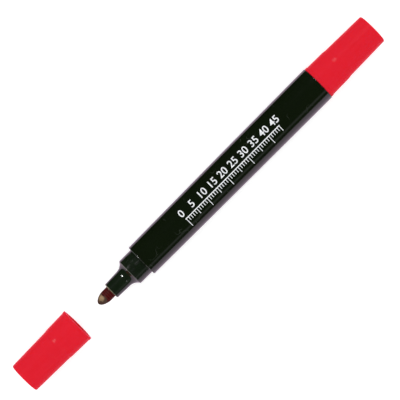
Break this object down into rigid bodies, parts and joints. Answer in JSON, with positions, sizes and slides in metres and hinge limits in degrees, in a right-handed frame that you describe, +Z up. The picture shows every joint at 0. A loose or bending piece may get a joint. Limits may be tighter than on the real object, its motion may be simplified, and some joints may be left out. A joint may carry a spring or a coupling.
{
  "type": "permanent marker",
  "caption": "Permanent marker lying uncapped: tapered black barrel with nose section, bullet fibre nib, ink reservoir and red rear plug, and a hollow red cap that slides on over the nose.",
  "frame": {"origin": "middle of the length and width of the marker with its cap off in front, on the plane that the barrel's widest ring touches", "axes": "+X along the marker's axis from the cap to the rear plug, so the nib points to -X; +Z up"},
  "size_m": [0.1704, 0.0138, 0.0137],
  "materials": {
    "nib_fibre": "bonded fibre soaked with dark red ink, a dried bronze sheen at the tip",
    "black_nose": "moulded black, slightly softer gloss than the barrel",
    "black_barrel": "moulded black, high gloss with a faint green cast",
    "reservoir_fibre": "ink-soaked polyester fibre",
    "wrap_film": "thin milky film",
    "red_plug": "moulded red, soft gloss",
    "red_cap": "moulded red, soft gloss",
    "natural_seal": "natural polyethylene, waxy"
  },
  "bodies": {
    "marker": {"nib": "nib_fibre", "nose_section": "black_nose", "barrel": "black_barrel", "ink_reservoir": "reservoir_fibre", "reservoir_wrap": "wrap_film", "rear_plug": "red_plug"},
    "cap": {"cap_shell": "red_cap", "cap_inner_seal": "natural_seal"}
  },
  "joints": [
    {"name": "cap_slide", "type": "slide", "parent": "marker", "child": "cap", "axis": [1, 0, 0], "range_m": [0, 0.031]}
  ]
}
